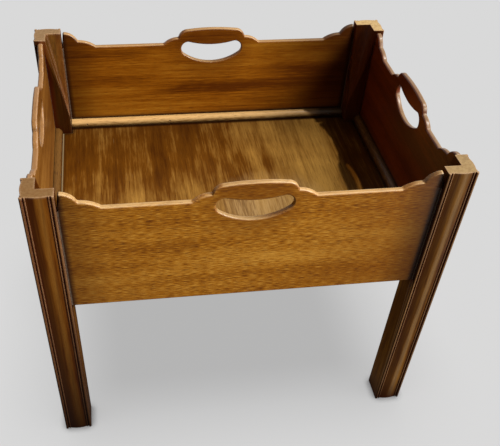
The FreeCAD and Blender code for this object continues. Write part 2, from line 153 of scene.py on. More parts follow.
def grain(tree, along, shift, sizes_mm):
    """Each pattern of a board as noise; the shift picks another board of the same wood."""
    place = add(tree, "ShaderNodeTexCoord").outputs["Object"]
    patterns = {}
    for pattern, (length_mm, width_mm) in sizes_mm.items():
        board = add(tree, "ShaderNodeMapping", {"Vector": place, "Location": shift,
                                                "Scale": stretch(along, length_mm, width_mm)})
        patterns[pattern] = add(tree, "ShaderNodeTexNoise", {"Vector": board, "Scale": 1.0,
                                                             "Detail": 3.0})
    return patterns


print("grain patterns:", ", ".join(GRAIN_MM))

# %% [markdown]
# ## A century of use
# In inner corners wax and dust stay and darken, and the same darkening is also painted shade,
# where shade falls in corners and joints. Old polish is rubbed thin on the tops of the sides and
# on edges. The pale colour on edges is also a painted highlight, strongest on edges that look up or
# to the right, towards the lamps, and faces turned to the left get less of it, as painted shade.
# Ambient occlusion finds corners and edges alike: looking out from a surface it finds the corners,
# and looking in it finds the edges.

# %% Wear, old wax, painted shade and painted highlight
LIGHT_FACING = (0.3, -0.25, 1)


def aged(tree, ground, patches, edge, top, wax, top_above_mm, edge_mm, wax_and_shade_mm):
    """Wax and painted shade in corners, rubbed high tops, wear and painted highlight on edges."""
    near, deep, high_from = metres(wax_and_shade_mm, edge_mm, top_above_mm)
    # Corners darken: old wax together with painted shade, found by ambient occlusion.
    outside = add(tree, "ShaderNodeAmbientOcclusion", {"Distance": near}, samples=6)
    corner = add(tree, "ShaderNodeMapRange", {"Value": outside.outputs["AO"],
                                              "From Min": 0.93, "From Max": 0.6, "To Max": 0.85})
    ground = add(tree, "ShaderNodeMix", {"Factor": corner, "A": ground, "B": linear(wax)},
                 data_type="RGBA")
    shape = add(tree, "ShaderNodeNewGeometry")
    place = add(tree, "ShaderNodeSeparateXYZ", {"Vector": shape.outputs["Position"]})
    look = add(tree, "ShaderNodeSeparateXYZ", {"Vector": shape.outputs["Normal"]})
    uneven = add(tree, "ShaderNodeMapRange", {"Value": patches, "From Min": 0.38, "From Max": 0.6,
                                              "To Min": 0.7}, interpolation_type="SMOOTHSTEP")
    # Faces turned to the left get less of the pale colours: painted shade, as the lamps stand
    # right.
    right = add(tree, "ShaderNodeMapRange", {"Value": look.outputs["X"], "From Min": -0.35,
                                             "From Max": 0.02, "To Min": 0.15})
    uneven = add(tree, "ShaderNodeMath", {0: uneven, 1: right}, operation="MULTIPLY")
    up = add(tree, "ShaderNodeMapRange", {"Value": look.outputs["Z"], "From Min": 0.35,
                                          "From Max": 0.65})
    high = add(tree, "ShaderNodeMath", {0: place.outputs["Z"], 1: high_from},
               operation="GREATER_THAN")
    rubbed_and_lit = add(tree, "ShaderNodeMath", {0: up, 1: high}, operation="MULTIPLY")
    rubbed_and_lit = add(tree, "ShaderNodeMath", {0: rubbed_and_lit, 1: uneven}, operation="MULTIPLY")
    ground = add(tree, "ShaderNodeMix", {"Factor": rubbed_and_lit, "A": ground, "B": linear(top)},
                 data_type="RGBA")
    inside = add(tree, "ShaderNodeAmbientOcclusion", {"Distance": deep}, samples=6, inside=True,
                 only_local=True)
    worn_and_lit = add(tree, "ShaderNodeMapRange", {"Value": inside.outputs["AO"], "From Min": 0.9,
                                            "From Max": 0.55, "To Max": 0.8},
               interpolation_type="SMOOTHSTEP")
    # Edges that face the lamps are paler: painted highlight on top of the wear.
    facing = add(tree, "ShaderNodeVectorMath", {0: shape.outputs["Normal"], 1: LIGHT_FACING},
                 operation="DOT_PRODUCT").outputs["Value"]
    toward_light = add(tree, "ShaderNodeMapRange", {"Value": facing, "From Min": 0.0, "From Max": 0.5})
    worn_and_lit = add(tree, "ShaderNodeMath", {0: worn_and_lit, 1: toward_light}, operation="MULTIPLY")
    worn_and_lit = add(tree, "ShaderNodeMath", {0: worn_and_lit, 1: uneven}, operation="MULTIPLY")
    return add(tree, "ShaderNodeMix", {"Factor": worn_and_lit, "A": ground, "B": linear(edge)},
               data_type="RGBA")


# Edges that face this way are also painted paler, as painted highlight.
print("edges wear most where they face", LIGHT_FACING)

# %% [markdown]
# ## The colour of a board
# The eye sees a golden to red-brown ground that changes slowly along the board, with livelier
# flecks over it. One tone holds it all: the slow patterns and the fine ones, each with a share,
# around a fixed mean. Two steps of that tone then lead from a dark brown to a middle brown, and
# from there to a light one.

# %% Tone and browns
FIGURE_SHARE = 0.6
FINE_TOTAL = 1.3
MEAN_FINE, MEAN_SLOW, MEAN_TONE = 0.65, 0.8, 2.1
TONE_STEPS = ((1.75, 2.12), (2.1, 2.5))


def tone_steps(tree, seen, lively, fine_share, slow_share):
    slow = add(tree, "ShaderNodeMath", {0: seen["figure"], 1: FIGURE_SHARE, 2: seen["bands"]},
               operation="MULTIPLY_ADD")
    flecks = add(tree, "ShaderNodeMath", {0: seen["flecks"], 1: lively}, operation="MULTIPLY")
    fine = add(tree, "ShaderNodeMath", {0: seen["streaks"], 1: FINE_TOTAL - lively, 2: flecks},
               operation="MULTIPLY_ADD")
    level = MEAN_TONE - fine_share * MEAN_FINE - slow_share * MEAN_SLOW
    slow = add(tree, "ShaderNodeMath", {0: slow, 1: slow_share, 2: level}, operation="MULTIPLY_ADD")
    tone = add(tree, "ShaderNodeMath", {0: fine, 1: fine_share, 2: slow}, operation="MULTIPLY_ADD")
    return [add(tree, "ShaderNodeMapRange", {"Value": tone, "From Min": start, "From Max": end})
            for start, end in TONE_STEPS]


def browned(tree, steps, browns):
    ground = linear(browns[0])
    for step, brown in zip(steps, browns[1:]):
        ground = add(tree, "ShaderNodeMix", {"Factor": step, "A": ground, "B": linear(brown)},
                     data_type="RGBA")
    return ground


print("mean tone of a board:", MEAN_TONE)

# %% [markdown]
# ## Polished mahogany
# The sides and legs are mahogany, sawn, planed and polished with shellac. Shellac is clear and
# shines softly after years of rubbing, so the wood is smooth with a low reflection. The short dark
# pores, which the polish never quite fills, are duller and a little sunk. Each piece has marks of
# its own. A mark is a small function that lays a colour over the ground, before or after the wear.

# %% The mahogany recipe
PORES_SHOW = (0.54, 0.7)
PORE_DULLNESS = 0.25
SUNK_MM = 0.3


def mahogany(name, along, shift, browns, edge, top, wax, top_above_mm=600, edge_mm=2.5, wax_and_shade_mm=3.5,
             pore_depth=0.7, roughness=0.3, shine=0.3, lively=1.0, fine_share=2.0, slow_share=1.0,
             sizes_mm=GRAIN_MM, marks=(), late_marks=()):
    finish = bpy.data.materials.new(name)
    finish.use_nodes = True
    tree = finish.node_tree
    tree.nodes.clear()
    *browns, pore = browns
    seen = grain(tree, along, shift, sizes_mm)
    steps = tone_steps(tree, seen, lively, fine_share, slow_share)
    shape = add(tree, "ShaderNodeNewGeometry")
    wood = {"along": along, "seen": seen, "steps": steps, "dark": browns[0], "wax": wax,
            "place": shape.outputs["Position"], "normal": shape.outputs["Normal"]}
    ground = browned(tree, steps, browns)
    for mark, settings in marks:
        ground = mark(tree, ground, wood, **settings)
    ground = aged(tree, ground, seen["streaks"], edge, top, wax, top_above_mm, edge_mm, wax_and_shade_mm)
    for mark, settings in late_marks:
        ground = mark(tree, ground, wood, **settings)
    pores = add(tree, "ShaderNodeMapRange", {"Value": seen["pores"], "From Min": PORES_SHOW[0],
                                             "From Max": PORES_SHOW[1], "To Max": pore_depth},
                interpolation_type="SMOOTHSTEP")
    ground = add(tree, "ShaderNodeMix", {"Factor": pores, "A": ground, "B": linear(pore)},
                 data_type="RGBA")
    dull = add(tree, "ShaderNodeMath", {0: pores, 1: PORE_DULLNESS, 2: roughness},
               operation="MULTIPLY_ADD")
    sunk = add(tree, "ShaderNodeMath", {0: seen["flecks"], 1: pores}, operation="SUBTRACT")
    bump = add(tree, "ShaderNodeBump", {"Height": sunk, "Strength": 0.2,
                                        "Distance": SUNK_MM / 1000})
    shader = add(tree, "ShaderNodeBsdfPrincipled", {"Base Color": ground, "Roughness": dull,
                                                    "Specular IOR Level": shine, "Normal": bump})
    add(tree, "ShaderNodeOutputMaterial", {"Surface": shader})
    return finish


print("pores are sunk by up to", SUNK_MM, "mm")

# %% [markdown]
# ## Marks on the sides
# Hands have darkened the polish round the hand holes, and each side grows darker with distance
# from a spot a little below and left of its hand hole. Old wax and painted shade darken the ends
# beside the legs, and a painted shade line runs along the floor moulding. The right side's dark
# red browns are painted shade for its inner face, and its outer face gets ordinary browns.

# %% Hands, and the right side's outer face
TOUCHED_REACH_MM = (100, 30)
LIGHTEST_SPOT = Vector((-0.05, 0, -0.06))
LIGHTEST_REACH_MM = (120, 380)


# Faces looking outward get ordinary browns, in place of the right side's painted shade.
def ordinary_outer_face(tree, ground, wood, outward, browns):
    facing = add(tree, "ShaderNodeVectorMath", {0: wood["normal"], 1: outward},
                 operation="DOT_PRODUCT").outputs["Value"]
    outer_share = add(tree, "ShaderNodeMapRange", {"Value": facing, "From Min": 0.3, "From Max": 0.7,
                                              "To Max": 0.85})
    lighter = browned(tree, wood["steps"], browns)
    return add(tree, "ShaderNodeMix", {"Factor": outer_share, "A": ground, "B": lighter}, data_type="RGBA")


def handled(tree, ground, wood, hand_hole):
    reach = add(tree, "ShaderNodeVectorMath", {0: wood["place"], 1: hand_hole},
                operation="DISTANCE")
    far, close = metres(*TOUCHED_REACH_MM)
    touched = add(tree, "ShaderNodeMapRange", {"Value": reach.outputs["Value"], "From Min": far,
                                               "From Max": close, "To Max": 0.6},
                  interpolation_type="SMOOTHSTEP")
    # The side grows darker with distance from a spot below and left of the hand hole.
    reach = add(tree, "ShaderNodeVectorMath", {0: wood["place"], 1: hand_hole + LIGHTEST_SPOT},
                operation="DISTANCE")
    close, far = metres(*LIGHTEST_REACH_MM)
    ends = add(tree, "ShaderNodeMapRange", {"Value": reach.outputs["Value"], "From Min": close,
                                            "From Max": far, "To Max": 0.8})
    dim = add(tree, "ShaderNodeMath", {0: touched, 1: ends}, operation="MAXIMUM")
    return add(tree, "ShaderNodeMix", {"Factor": dim, "A": ground, "B": linear(wood["dark"])},
               data_type="RGBA")


print("hands reach", max(TOUCHED_REACH_MM), "mm from the middle of a hand hole")

# %% [markdown]
# Towards the ends of the front and the back, and on every side in the last few millimetres beside
# the legs, the colour darkens, as old wax together with painted shade; the front's right end is
# darker still, as a painted shadow of the leg. Along the floor moulding a painted shade line runs,
# on the inner face only. The right upper corner of the back is darkest of all, as painted shade.

# %% Old wax and painted shade at the ends
END_DARK_MM = (75, 5)
BY_LEG_MM = (10, 2)
SHADE_LINE_MM = (366, 361)


def wax_and_shade_at_ends(tree, ground, wood, half_mm, shares):
    length = add(tree, "ShaderNodeSeparateXYZ", {"Vector": wood["place"]}).outputs[wood["along"]]
    start, stop = metres(*(half_mm - before for before in END_DARK_MM))
    # Darker towards both ends: old wax with painted shade; the front's right end is a painted
    # shadow of the leg.
    for end, share in zip((-1, 1), shares):
        dark_share = add(tree, "ShaderNodeMapRange", {"Value": length, "From Min": end * start,
                                                 "From Max": end * stop, "To Max": share},
                    interpolation_type="SMOOTHSTEP")
        ground = add(tree, "ShaderNodeMix", {"Factor": dark_share, "A": ground,
                                             "B": linear(wood["wax"])}, data_type="RGBA")
    # Beside each leg: painted shade between side and leg, with old wax.
    length = add(tree, "ShaderNodeMath", {0: length}, operation="ABSOLUTE")
    start, stop = metres(*(half_mm - before for before in BY_LEG_MM))
    by_leg = add(tree, "ShaderNodeMapRange", {"Value": length, "From Min": start, "From Max": stop,
                                              "To Max": 0.85})
    return add(tree, "ShaderNodeMix", {"Factor": by_leg, "A": ground, "B": linear(wood["wax"])},
               data_type="RGBA")


# A painted shade line on the inner face, just above the floor moulding.
def shade_line_above_moulding(tree, ground, wood, outward):
    height = add(tree, "ShaderNodeSeparateXYZ", {"Vector": wood["place"]}).outputs["Z"]
    start, stop = metres(*SHADE_LINE_MM)
    low = add(tree, "ShaderNodeMapRange", {"Value": height, "From Min": start, "From Max": stop})
    facing = add(tree, "ShaderNodeVectorMath", {0: wood["normal"], 1: outward},
                 operation="DOT_PRODUCT").outputs["Value"]
    within = add(tree, "ShaderNodeMath", {0: facing, 1: -0.5}, operation="LESS_THAN")
    line_shade = add(tree, "ShaderNodeMath", {0: low, 1: within}, operation="MULTIPLY")
    return add(tree, "ShaderNodeMix", {"Factor": line_shade, "A": ground, "B": linear(wood["wax"])},
               data_type="RGBA")


# Painted shade, darkest near a given point and fading with distance from it.
def painted_shade_spot(tree, ground, wood, middle_mm, reach_mm, share):
    reach = add(tree, "ShaderNodeVectorMath", {0: wood["place"], 1: metres(*middle_mm)},
                operation="DISTANCE").outputs["Value"]
    far, close = metres(*reach_mm)
    dark_share = add(tree, "ShaderNodeMapRange", {"Value": reach, "From Min": far, "From Max": close,
                                             "To Max": share})
    return add(tree, "ShaderNodeMix", {"Factor": dark_share, "A": ground, "B": linear(wood["wax"])},
               data_type="RGBA")


# Both ends darken from old wax together with painted shade.
print("wax darkens the last", max(END_DARK_MM), "mm of a side")

# %% [markdown]
# The four sides come from different boards: the front is the most golden, and the back is redder.
# The right side's dark red browns are painted shade for its inner face, which lies in shadow. The
# front has short flecks and the others longer streaks. Their upper edges have gone tan where trays
# and sleeves slid over them.

# %% Finish the sides
ALONG = {"front": "X", "right": "Y", "back": "X", "left": "Y"}
BOARD_SHIFT = {"front": (0.0, 0.0, 0.0), "right": (3.1, 1.7, 0.9), "back": (9.1, 2.9, 6.3),
               "left": (7.7, 6.1, 2.3)}
SIDE_BROWNS = {"front": ("#784004", "#b06c0e", "#d49638", "#542a02"),
               # The right side's dark red browns are painted shade for its inner face.
               "right": ("#521c03", "#702e06", "#8c420f", "#3c1202"),
               "back": ("#582802", "#8e5008", "#aa6e1a", "#482002"),
               "left": ("#5e340b", "#83541e", "#a07236", "#4e2c08")}
RIGHT_OUTER_BROWNS = ("#5c3209", "#7c4e18", "#96682c")
SIDE_TOPS = {"front": "#c49c64", "right": "#8e7050", "back": "#b08650", "left": "#9c6e3e"}
# Pale edges: wear together with painted highlight.
SIDE_EDGES = {"front": "#ead2b4", "right": "#b09474", "back": "#ead2b4", "left": "#ead2b4"}
HAND_HOLES_MM = {"front": (0, -235, 515), "right": (309, 0, 515), "back": (0, 235, 515),
                 "left": (-309, 0, 515)}
HALF_MM = {"X": 274, "Y": 200}
END_DARK_SHARES = {"front": (0.35, 0.65), "right": (0, 0), "back": (0.5, 0.2), "left": (0, 0)}
# Painted shade on the back's upper right corner, where the right side shades it.
BACK_CORNER_SHADE = {"middle_mm": (274, 235, 550), "reach_mm": (200, 60), "share": 0.65}
LONG_MM = {"bands": (420, 46), "figure": (200, 18), "streaks": (190, 3), "flecks": (24, 1.7),
           "pores": (14, 1.0)}
FLECKED = {"lively": 1.15, "fine_share": 2.1, "slow_share": 0.85, "pore_depth": 0.65,
           "sizes_mm": GRAIN_MM}
STREAKED = {"lively": 0.6, "fine_share": 1.1, "slow_share": 1.3, "pore_depth": 0.45,
            "sizes_mm": LONG_MM}

for side, along in ALONG.items():
    hand_hole = Vector(metres(*HAND_HOLES_MM[side]))
    outward = Vector((hand_hole.x, hand_hole.y, 0)).normalized()
    marks = [(handled, {"hand_hole": hand_hole}),
             (wax_and_shade_at_ends, {"half_mm": HALF_MM[along], "shares": END_DARK_SHARES[side]}),
             (shade_line_above_moulding, {"outward": outward})]
    # The right side's outer face gets ordinary browns; its inner face keeps the painted shade.
    if side == "right":
        marks.insert(0, (ordinary_outer_face, {"outward": outward, "browns": RIGHT_OUTER_BROWNS}))
    nodes[f"{side}_panel"].data.materials[0] = mahogany(
        f"polished mahogany, {side} side", along, BOARD_SHIFT[side], SIDE_BROWNS[side],
        edge=SIDE_EDGES[side], top=SIDE_TOPS[side], wax="#240b02", top_above_mm=465, edge_mm=3,
        wax_and_shade_mm=12, marks=marks, late_marks=[(painted_shade_spot, BACK_CORNER_SHADE)] if side == "back" else [],
        **(FLECKED if side == "front" else STREAKED))
print("sides finished:", ", ".join(ALONG))

# %% [markdown]
# ## Marks on the legs
# The crown of each leg's moulding is painted paler than its flanks: a painted highlight just to
# the right of the crown, and painted shade on the flanks. Two faces at right angles share one
# measure for it: the product of a normal's two level parts, which is nought on both. The upright
# inner faces beside the sides are painted dark, as painted shade. The legs grow darker towards the
# feet.

# %% Crown highlight, inner shade and feet
HIGHLIGHT_TURN = 0.07
BESIDE_MM = (300, 330)


# Painted highlight just right of each crown, and painted shade on the flanks.
def crown_highlight_and_flank_shade(tree, ground, wood, crown_highlight):
    look = add(tree, "ShaderNodeSeparateXYZ", {"Vector": wood["normal"]})
    turn = add(tree, "ShaderNodeMath", {0: look.outputs["X"], 1: look.outputs["Y"], 2: HIGHLIGHT_TURN},
               operation="MULTIPLY_ADD")
    turn = add(tree, "ShaderNodeMath", {0: turn}, operation="ABSOLUTE")
    rubbed_and_lit = add(tree, "ShaderNodeMapRange", {"Value": turn, "From Min": 0.1, "From Max": 0.025,
                                              "To Max": 0.4})
    rubbed_and_lit = add(tree, "ShaderNodeMath", {0: rubbed_and_lit, 1: wood["seen"]["flecks"], 2: rubbed_and_lit},
                 operation="MULTIPLY_ADD")
    ground = add(tree, "ShaderNodeMix", {"Factor": rubbed_and_lit, "A": ground, "B": linear(crown_highlight)},
                 data_type="RGBA")
    flank_shade = add(tree, "ShaderNodeMapRange", {"Value": turn, "From Min": 0.06, "From Max": 0.17,
                                             "To Max": 0.75})
    return add(tree, "ShaderNodeMix", {"Factor": flank_shade, "A": ground, "B": linear(wood["dark"])},
               data_type="RGBA")


# Painted shade on the upright inner faces beside the sides.
def shaded_inside(tree, ground, wood, inward, dark_colour):
    facing = add(tree, "ShaderNodeVectorMath", {0: wood["normal"], 1: inward},
                 operation="DOT_PRODUCT").outputs["Value"]
    inner_shade = add(tree, "ShaderNodeMapRange", {"Value": facing, "From Min": 0.6, "From Max": 0.95,
                                            "To Max": 0.85})
    tilt = add(tree, "ShaderNodeSeparateXYZ", {"Vector": wood["normal"]}).outputs["Z"]
    upright = add(tree, "ShaderNodeMapRange", {"Value": tilt, "From Min": 0.08, "From Max": 0.04})
    inner_shade = add(tree, "ShaderNodeMath", {0: inner_shade, 1: upright}, operation="MULTIPLY")
    height = add(tree, "ShaderNodeSeparateXYZ", {"Vector": wood["place"]}).outputs["Z"]
    start, stop = metres(*BESIDE_MM)
    beside = add(tree, "ShaderNodeMapRange", {"Value": height, "From Min": start, "From Max": stop})
    inner_shade = add(tree, "ShaderNodeMath", {0: inner_shade, 1: beside}, operation="MULTIPLY")
    return add(tree, "ShaderNodeMix", {"Factor": inner_shade, "A": ground, "B": linear(dark_colour)},
               data_type="RGBA")


# Darker towards the bottom; on the mouldings this is painted shade.
def darker_foot(tree, ground, wood, heights_mm, dark_colour):
    height = add(tree, "ShaderNodeSeparateXYZ", {"Vector": wood["place"]}).outputs["Z"]
    start, stop = metres(*heights_mm)
    foot_dark = add(tree, "ShaderNodeMapRange", {"Value": height, "From Min": start, "From Max": stop,
                                              "To Max": 0.92})
    return add(tree, "ShaderNodeMix", {"Factor": foot_dark, "A": ground, "B": linear(dark_colour)},
               data_type="RGBA")


print("inner faces stay dark above", max(BESIDE_MM), "mm")

# %% [markdown]
# The legs are darker than the sides, because their mouldings hold more polish. Their tops are bare
# end grain, which drinks up dirt and looks grey-brown.

# %% Finish the legs
LEG_MM = {"bands": (420, 40), "figure": (180, 22), "streaks": (190, 4.5), "flecks": (40, 2.2),
          "pores": (18, 1.0)}
LEG_SHIFT = {"front_left": (0.0, 0.0, 0.0), "front_right": (2.3, 1.1, 3.7),
             "rear_right": (4.6, 2.2, 7.4), "rear_left": (6.9, 3.3, 11.1)}
LEG_BROWNS = {"front_left": ("#4a2003", "#74400a", "#925a18", "#371502"),
              "front_right": ("#42220a", "#6e4410", "#8c5e20", "#2e1604"),
              "rear_right": ("#4e2004", "#763c0a", "#925418", "#361403"),
              "rear_left": ("#44280a", "#70460f", "#8a5c20", "#2e1a05")}
# Colours of the painted crown highlight.
CROWN_HIGHLIGHTS = {"front_left": "#8e5e24", "front_right": "#927048",
          "rear_right": "#763c0a", "rear_left": "#70460f"}
END_GRAIN = {"front_left": "#84623a", "front_right": "#a1855a", "rear_right": "#c9a86f",
             "rear_left": "#94724a"}
# Heights below which each leg darkens towards the floor.
DARKER_BELOW_MM = {"front_left": 430, "front_right": 60, "rear_right": 330, "rear_left": 330}
LEG_DARKS = {"front_left": "#1a0902", "front_right": "#2c0f02",
        "rear_right": "#4e260a", "rear_left": "#2c0f02"}

for corner, shift in LEG_SHIFT.items():
    inward = (1 if "left" in corner else -1, 1 if "front" in corner else -1, 0)
    nodes[f"leg_{corner}"].data.materials[0] = mahogany(
        f"polished mahogany, {corner} leg", "Z", shift, LEG_BROWNS[corner], edge="#b08c6a",
        top=END_GRAIN[corner], wax="#5c1e08", top_above_mm=530, edge_mm=4, wax_and_shade_mm=11,
        pore_depth=0.3, roughness=0.28, shine=0.12, lively=0.5, sizes_mm=LEG_MM,
        marks=[(crown_highlight_and_flank_shade, {"crown_highlight": CROWN_HIGHLIGHTS[corner]})],
        late_marks=[(shaded_inside, {"inward": inward, "dark_colour": LEG_DARKS[corner]}),
                    (darker_foot, {"heights_mm": (DARKER_BELOW_MM[corner], 0),
                                   "dark_colour": LEG_DARKS[corner]})])
print("legs finished:", ", ".join(LEG_SHIFT))

# %% [markdown]
# ## The worn tray floor
# The floor lies with its grain from front to back. Its slow bands and mottled figure show more
# than its flecks. The right end is painted lighter, as painted light where the soft lamp's shadow
# falls, stopping short of the right rim's hard shadow, and the front is lighter too.

# %% The floor's brown
FLOOR_MM = {"bands": (500, 58), "streaks": (130, 5), "flecks": (32, 1.9), "pores": (16, 1.1),
            "mottle": (70, 38), "haze": (150, 16), "scratches": (60, 1.6)}
FLOOR_SHARES = {"streaks": 0.65, "flecks": 0.45, "mottle": 0.5}
BANDS_SHARE = 1.3
FLOOR_STEPS = ((1.15, 1.52), (1.5, 2.15))
FLOOR_BROWNS = ("#432104", "#623809", "#b8883e")
LIGHTER_MM, LIGHTER_STOP_MM, FRONT_LIGHTER_MM = (-20, 200), (250, 210), (80, -40)
LIGHTER_BY, FRONT_LIGHTER_BY = 0.5, 0.25


def floor_ground(tree, seen, place):
    tone = add(tree, "ShaderNodeMath", {0: seen["bands"], 1: BANDS_SHARE}, operation="MULTIPLY")
    for pattern, share in FLOOR_SHARES.items():
        tone = add(tree, "ShaderNodeMath", {0: seen[pattern], 1: share, 2: tone},
                   operation="MULTIPLY_ADD")
    # Right end lighter: painted light where the soft lamp's shadow falls, cut off before the rim's
    # hard shadow.
    lighter, lighter_stop, front_lighter = [
        add(tree, "ShaderNodeMapRange", {"Value": place.outputs[axis], "From Min": start / 1000,
                                         "From Max": stop / 1000, "To Max": most})
        for axis, (start, stop), most in (("X", LIGHTER_MM, LIGHTER_BY), ("X", LIGHTER_STOP_MM, LIGHTER_BY),
                                          ("Y", FRONT_LIGHTER_MM, FRONT_LIGHTER_BY))]
    lighter = add(tree, "ShaderNodeMath", {0: lighter, 1: lighter_stop}, operation="MINIMUM")
    tone = add(tree, "ShaderNodeMath", {0: tone, 1: lighter})
    tone = add(tree, "ShaderNodeMath", {0: tone, 1: front_lighter})
    steps = [add(tree, "ShaderNodeMapRange", {"Value": tone, "From Min": start, "From Max": end})
             for start, end in FLOOR_STEPS]
    return browned(tree, steps, FLOOR_BROWNS)


print("floor patterns:", ", ".join(FLOOR_MM))

# %% [markdown]
# Cups and cloths have rubbed the polish thin near the front, where a golden tan haze lies over the
# brown, broken up by the grain; the haze is also painted light there, in the front side's shadow.
# Fine scratches run all over. The rear is darker, with a painted shade line along the back
# moulding, and a line of pale dust lies along the left one. Below, the board was never polished at
# all.

# %% Worn mahogany
HAZE_MIDDLE_MM = (75, -75, 347)
HAZE_REACH_MM = (160, 30)
REAR_MM, BACK_SHADE_LINE_MM, DUSTY_MM = (100, 210), (210, 214), (-288.5, -290.5)
FLOOR_WAX_AND_SHADE, DUST, HAZE, SCRATCH, FLOOR_PORE = "#1e0a02", "#bfa87e", "#bc9660", "#a88a5c", "#3a1f06"
FLOOR_EDGE = "#8a6a3c"
BARE_BROWNS = ("#5f4325", "#86653f")


# Worn haze near the front, also painted light where the front side shades the floor.
def worn_and_lit_haze(tree, seen, position):
    reach = add(tree, "ShaderNodeVectorMath", {0: position, 1: metres(*HAZE_MIDDLE_MM)},
                operation="DISTANCE").outputs["Value"]
    far, close = metres(*HAZE_REACH_MM)
    near = add(tree, "ShaderNodeMapRange", {"Value": reach, "From Min": far, "From Max": close},
               interpolation_type="SMOOTHSTEP")
    spread = add(tree, "ShaderNodeMath", {0: seen["haze"], 1: near}, operation="MULTIPLY")
    haze = add(tree, "ShaderNodeMapRange", {"Value": spread, "From Min": 0.1, "From Max": 0.55,
                                            "To Max": 0.8})
    broken = add(tree, "ShaderNodeMapRange", {"Value": seen["flecks"], "From Min": 0.4,
                                              "From Max": 0.6, "To Min": 0.5})
    return add(tree, "ShaderNodeMath", {0: haze, 1: broken}, operation="MULTIPLY")


def worn_floor(name):
    finish = bpy.data.materials.new(name)
    finish.use_nodes = True
    tree = finish.node_tree
    tree.nodes.clear()
    seen = grain(tree, "Y", (1.3, 0.7, 0.0), FLOOR_MM)
    shape = add(tree, "ShaderNodeNewGeometry")
    place = add(tree, "ShaderNodeSeparateXYZ", {"Vector": shape.outputs["Position"]})
    ground = floor_ground(tree, seen, place)
    pores = add(tree, "ShaderNodeMapRange", {"Value": seen["pores"], "From Min": 0.56,
                                             "From Max": 0.7, "To Max": 0.4},
                interpolation_type="SMOOTHSTEP")
    haze = worn_and_lit_haze(tree, seen, shape.outputs["Position"])
    scratches = add(tree, "ShaderNodeMapRange", {"Value": seen["scratches"], "From Min": 0.7,
                                                 "From Max": 0.76, "To Max": 0.35})
    for share, colour in ((pores, FLOOR_PORE), (haze, HAZE), (scratches, SCRATCH)):
        ground = add(tree, "ShaderNodeMix", {"Factor": share, "A": ground, "B": linear(colour)},
                     data_type="RGBA")
    ground = aged(tree, ground, seen["flecks"], edge=FLOOR_EDGE, top=FLOOR_EDGE, wax=FLOOR_WAX_AND_SHADE,
                  top_above_mm=600, edge_mm=2.5, wax_and_shade_mm=10)
    # The rear darkens; a painted shade line runs along the back moulding; pale dust lies along the
    # left one.
    for axis, span_mm, most, colour in (("Y", REAR_MM, 0.4, FLOOR_WAX_AND_SHADE),
                                        ("Y", BACK_SHADE_LINE_MM, 0.9, FLOOR_WAX_AND_SHADE),
                                        ("X", DUSTY_MM, 0.5, DUST)):
        start, stop = metres(*span_mm)
        strip = add(tree, "ShaderNodeMapRange", {"Value": place.outputs[axis], "From Min": start,
                                                 "From Max": stop, "To Max": most})
        ground = add(tree, "ShaderNodeMix", {"Factor": strip, "A": ground, "B": linear(colour)},
                     data_type="RGBA")
    tilt = add(tree, "ShaderNodeSeparateXYZ", {"Vector": shape.outputs["Normal"]}).outputs["Z"]
    below = add(tree, "ShaderNodeMath", {0: tilt, 1: -0.5}, operation="LESS_THAN")
    bare = browned(tree, [seen["streaks"]], BARE_BROWNS)
    ground = add(tree, "ShaderNodeMix", {"Factor": below, "A": ground, "B": bare}, data_type="RGBA")
    dull = add(tree, "ShaderNodeMath", {0: haze, 1: 0.3, 2: 0.34}, operation="MULTIPLY_ADD")
    sunk = add(tree, "ShaderNodeMath", {0: scratches, 1: pores})
    bump = add(tree, "ShaderNodeBump", {"Height": sunk, "Strength": 0.2,
                                        "Distance": SUNK_MM / 1000}, invert=True)
    shader = add(tree, "ShaderNodeBsdfPrincipled", {"Base Color": ground, "Roughness": dull,
                                                    "Specular IOR Level": 0.05, "Normal": bump})
    add(tree, "ShaderNodeOutputMaterial", {"Surface": shader})
    return finish


nodes["tray_floor"].data.materials[0] = worn_floor("worn mahogany, tray floor")
print("tray floor finished")

# %% [markdown]
# ## Mouldings and bearers
# The small mouldings along the floor are the same mahogany, with grain in proportion to their
# size and painted shade along their foot. The back one is lighter, as a painted highlight, and its
# right end is painted dark as painted shade. The bearers below the floor are bare softwood, which
# is pale, dull and darkens with age.

# %% Finish the strips
STRIP_MM = {"bands": (300, 12), "figure": (50, 10), "streaks": (90, 2.4), "flecks": (14, 1.6),
            "pores": (15, 1.2)}
# The back moulding's lighter browns and pale top are painted highlight.
MOULDING_BROWNS = {"front": ("#553310", "#754c1e", "#936a34", "#42260a"),
                   "right": ("#4c2c0c", "#684118", "#845c2c", "#3a2008"),
                   "back": ("#86602e", "#ae8246", "#d4ac6c", "#64421a"),
                   "left": ("#452608", "#5e3812", "#785022", "#341b06")}
MOULDING_TOPS = {"front": "#8a6a3c", "right": "#5c3c18", "back": "#cda266", "left": "#64441e"}
# Painted shade along each moulding's foot, and at the right end of the back one.
MOULDING_FOOT_SHADE = {"heights_mm": (357, 349), "dark_colour": FLOOR_WAX_AND_SHADE}
MOULDING_END_SHADE = {"middle_mm": (274, 225, 353), "reach_mm": (80, 45), "share": 0.9}
BEARER_BROWNS = ("#75552f", "#937045", "#ad8d5e", "#5b4022")
BEARER_EDGE = "#a58556"

